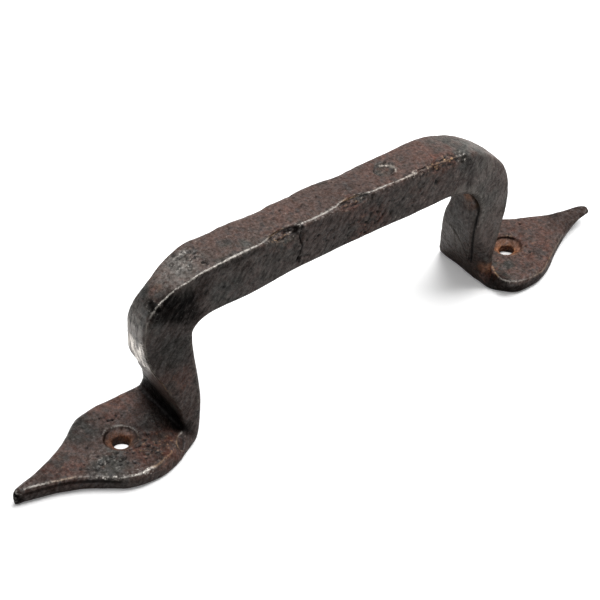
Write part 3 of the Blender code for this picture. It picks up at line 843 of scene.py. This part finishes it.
def forgedIron():
    material = bpy.data.materials.new("forgedIron")
    material.use_nodes = True
    tree = material.node_tree
    shader = tree.nodes["Principled BSDF"]
    place = addNode(tree, "ShaderNodeTexCoord").outputs["Object"]

    broad = addNoise(tree, place, ironFinish["broadScale"], 3.0)
    middle = addNoise(tree, place, ironFinish["middleScale"], 5.0, 0.6)
    small = addNoise(tree, place, ironFinish["smallScale"], 4.0, 0.65)
    grain = addNoise(tree, place, ironFinish["grainScale"], 2.0, 0.6)
    streaks = addStreaks(tree, place)
    redRust = addAttribute(tree, "redRust")
    pitted = addAttribute(tree, "pitted")

    # brown oxide with cooler grey patches
    coolBroad = addRange(tree, broad, 0.50, 0.66)
    coolShare = addMath(tree, "MAXIMUM", coolBroad, addAttribute(tree, "coolScale"))
    coolShare = addMath(tree, "MULTIPLY", coolShare, addRange(tree, middle, 0.30, 0.55))
    colour = addMix(tree, coolShare, ironFinish["brown"], ironFinish["cool"])
    # red rust with orange spots
    redShare = addMath(tree, "MULTIPLY", redRust, addRange(tree, middle, 0.62, 0.38))
    colour = addMix(tree, redShare, colour, ironFinish["red"])
    orangeShare = addMath(tree, "MULTIPLY", redRust, addRange(tree, small, 0.58, 0.74, 0.0, 0.7))
    colour = addMix(tree, orangeShare, colour, ironFinish["orange"])
    # dark scale in spots, and dark scale with painted shade in hollows
    spots = addMath(tree, "MULTIPLY", addRange(tree, middle, 0.50, 0.72), 0.65)
    drawnSpots = addMath(tree, "MULTIPLY", addRange(tree, streaks, 0.52, 0.68), 0.68)
    inHollows = addMath(tree, "MULTIPLY", addAttribute(tree, "hollow"), 0.8)
    darkShare = addMath(tree, "MAXIMUM", addMath(tree, "MAXIMUM", spots, drawnSpots), inHollows)
    colour = addMix(tree, darkShare, colour, ironFinish["scale"])
    # orange rust in the countersinks and the fold
    rustSpots = addRange(tree, middle, 0.66, 0.46, 0.4, 1.0)
    orangeSpots = addMath(tree, "MULTIPLY", addAttribute(tree, "orangeRust"), rustSpots)
    colour = addMix(tree, orangeSpots, colour, ironFinish["orangeSpot"])
    # fine grain all over, and strokes on the sides
    grainTone = addRange(tree, grain, 0.25, 0.75, *ironFinish["grainTone"])
    smallTone = addRange(tree, small, 0.30, 0.70, *ironFinish["smallTone"])
    tone = addMath(tree, "MULTIPLY", grainTone, smallTone)
    colour = addMix(tree, 1.0, colour, addGrey(tree, tone), "MULTIPLY")
    strokes = addRange(tree, streaks, 0.34, 0.66, *ironFinish["strokeTone"])
    colour = addMix(tree, addAttribute(tree, "sideFace"), colour, addGrey(tree, strokes), "MULTIPLY")
    # dirt, black scale and painted shade; pits are darkened too
    smeared = addRange(tree, streaks, 0.70, 0.50, 0.65, 1.0)
    patch = addMath(tree, "MULTIPLY", addAttribute(tree, "sootAndShadePatch"), smeared)
    sootAndShade = addMath(tree, "MAXIMUM", addAttribute(tree, "sootAndShadeLine"), patch)
    sootAndShade = addMath(tree, "MAXIMUM", sootAndShade, addMath(tree, "MULTIPLY", pitted, 0.75))
    colour = addMix(tree, sootAndShade, colour, ironFinish["sootAndShade"])
    # bare metal where worn, and painted highlights, reflections and glints
    upright = addVector(tree, "MULTIPLY", place, ironFinish["legStrokes"])["Vector"]
    legStreaks = addNoise(tree, upright, 1.0, 3.0, 0.6)
    wearAndHighlights = addWearAndHighlights(tree, legStreaks, middle, small)
    warmShare = addRange(tree, redRust, 0.2, 0.6)
    steelAndHighlight = addMix(tree, warmShare, ironFinish["steelAndHighlight"], ironFinish["warmSteelAndHighlight"])
    colour = addMix(tree, wearAndHighlights, colour, steelAndHighlight)
    tree.links.new(colour, shader.inputs["Base Color"])
    tree.links.new(addMath(tree, "MULTIPLY", wearAndHighlights, 0.95), shader.inputs["Metallic"])
    # dirt, painted shade and grain break the sheen, wear and the painted highlights smooth it and rust
    # dulls it
    sheen = addMath(tree, "MULTIPLY", addRange(tree, sootAndShade, 0.0, 1.0, 1.0, 0.12), ironFinish["sheen"])
    sheen = addMath(tree, "MULTIPLY", sheen, addRange(tree, small, 0.36, 0.62, 0.62, 1.40))
    sheen = addMath(tree, "MULTIPLY", sheen, addRange(tree, streaks, 0.34, 0.62, 0.55, 1.50))
    tree.links.new(sheen, shader.inputs["Specular IOR Level"])
    roughness = addRange(tree, middle, 0.35, 0.65, *ironFinish["roughness"])
    roughness = addMath(tree, "SUBTRACT", roughness, addMath(tree, "MULTIPLY", wearAndHighlights, 0.08))
    roughness = addMath(tree, "ADD", roughness, addMath(tree, "MULTIPLY", redShare, 0.15))
    tree.links.new(roughness, shader.inputs["Roughness"])

    # fine relief: scale, pits, strokes and grain
    cellInputs = {"Vector": place, "Scale": ironFinish["cellScale"]}
    cellNode = addNode(tree, "ShaderNodeTexVoronoi", cellInputs, feature="F1")
    cells = addRange(tree, cellNode.outputs["Distance"], 0.0, 0.32)
    height = small
    for layer, share in ((grain, 0.25), (cells, 0.25), (streaks, 0.8), (middle, 1.2)):
        height = addMath(tree, "ADD", height, addMath(tree, "MULTIPLY", layer, share))
    bumpInputs = {"Height": height, "Strength": ironFinish["bump"], "Distance": ironFinish["bumpDepth"]}
    bump = addNode(tree, "ShaderNodeBump", bumpInputs)
    tree.links.new(bump.outputs["Normal"], shader.inputs["Normal"])
    return material


forgingPiece = buildForging()
forgingPiece.data.materials.append(forgedIron())
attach(forgingPiece, "root")
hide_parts("forged_handle")
print("forging finished")


# floor, lamps and world
studio = {
    "floorSize": 1.6,
    "floorHeight": -0.0001,
    "floorRoughness": 0.9,
    "floorGloss": 0.1,
    "floorColour": (0.95, 0.95, 0.95, 1.0),
    "floorMirror": (0.42, 0.41, 0.40, 1.0),   # how bright the floor is in the iron's sheen
    "leftMirror": (1.00, 0.99, 0.98, 1.0),    # brighter on the left behind: a painted reflection that only the iron's sheen sees, lighting the left bend
    "leftFrom": (0.050, 0.080),               # where the left and the back of the floor begin
    "backFrom": (-0.010, 0.030),
    "floorBounce": (0.15, 0.15, 0.15, 1.0),   # how bright it is to light that bounces onto the iron
    "floorLift": 0.19,                        # glow that keeps the seen floor white
    "holeLift": 0.75,                         # the same under the screw holes
    "holeEdges": (0.0040, 0.0030),
    "worldDiffuse": 0.08,
    "worldGlossy": 0.64,
    "aim": (0, 0, 0.02),
    "lamps": [
        {"name": "backBox", "at": (0.72, 0.22, 1.05), "size": 1.4, "watts": 30.5, "mirrored": False},
        {"name": "topBox", "at": (-0.25, -0.05, 1.30), "size": 0.9, "watts": 6.0, "mirrored": True},
        {"name": "edgeBox", "at": (0.50, -0.28, 0.98), "size": 0.25, "watts": 2.0, "mirrored": True},
    ],
}


def addFloor():
    deselectAll()
    bpy.ops.mesh.primitive_plane_add(size=studio["floorSize"], location=(0, 0, studio["floorHeight"]))
    floor = bpy.context.object
    floor.name = "floor"
    material = bpy.data.materials.new("whiteFloor")
    material.use_nodes = True
    tree = material.node_tree
    shader = tree.nodes["Principled BSDF"]
    shader.inputs["Roughness"].default_value = studio["floorRoughness"]
    shader.inputs["Specular IOR Level"].default_value = studio["floorGloss"]
    path = addNode(tree, "ShaderNodeLightPath")
    seen = path.outputs["Is Camera Ray"]
    mirrored = path.outputs["Is Glossy Ray"]
    place = addNode(tree, "ShaderNodeTexCoord").outputs["Object"]
    # reflections see a brighter floor on the left behind: a painted reflection
    leftShare = addRange(tree, addDot(tree, place, (-1.0, 0.0, 0.0)), *studio["leftFrom"])
    backShare = addRange(tree, addDot(tree, place, (0.0, 1.0, 0.0)), *studio["backFrom"])
    leftBack = addMath(tree, "MULTIPLY", leftShare, backShare)
    mirror = addMix(tree, leftBack, studio["floorMirror"], studio["leftMirror"])
    colour = addMix(tree, mirrored, studio["floorBounce"], mirror)
    seenThrough = addMath(tree, "MAXIMUM", seen, path.outputs["Is Transmission Ray"])
    colour = addMix(tree, seenThrough, colour, studio["floorColour"])
    tree.links.new(colour, shader.inputs["Base Color"])
    shader.inputs["Emission Color"].default_value = (1, 1, 1, 1)
    lift = studio["floorLift"]
    for x in forging["holes"]:
        toHole = addVector(tree, "DISTANCE", place, (x, 0.0, 0.0))["Value"]
        underHole = addRange(tree, toHole, *studio["holeEdges"], 0.0, studio["holeLift"])
        lift = addMath(tree, "MAXIMUM", lift, underHole)
    tree.links.new(addMath(tree, "MULTIPLY", seen, lift), shader.inputs["Emission Strength"])
    floor.data.materials.append(material)


def addLamps():
    for lamp in studio["lamps"]:
        deselectAll()
        bpy.ops.object.light_add(type="AREA", location=lamp["at"])
        made = bpy.context.object
        made.name = lamp["name"]
        made.data.size = lamp["size"]
        made.data.energy = lamp["watts"]
        made.visible_glossy = lamp["mirrored"]
        aim = Vector(studio["aim"]) - Vector(lamp["at"])
        made.rotation_euler = aim.to_track_quat("-Z", "Y").to_euler()


def addWorld():
    world = bpy.data.worlds.new("paleStudio")
    bpy.context.scene.world = world
    world.use_nodes = True
    tree = world.node_tree
    background = tree.nodes["Background"]
    path = addNode(tree, "ShaderNodeLightPath")
    mirrored = addMath(tree, "MULTIPLY", path.outputs["Is Glossy Ray"], studio["worldGlossy"])
    strength = addMath(tree, "MAXIMUM", path.outputs["Is Camera Ray"], mirrored)
    strength = addMath(tree, "MAXIMUM", strength, studio["worldDiffuse"])
    background.inputs["Color"].default_value = (1, 1, 1, 1)
    tree.links.new(strength, background.inputs["Strength"])


addFloor()
addLamps()
addWorld()
bpy.context.scene.view_settings.view_transform = "Standard"
print("studio set up")
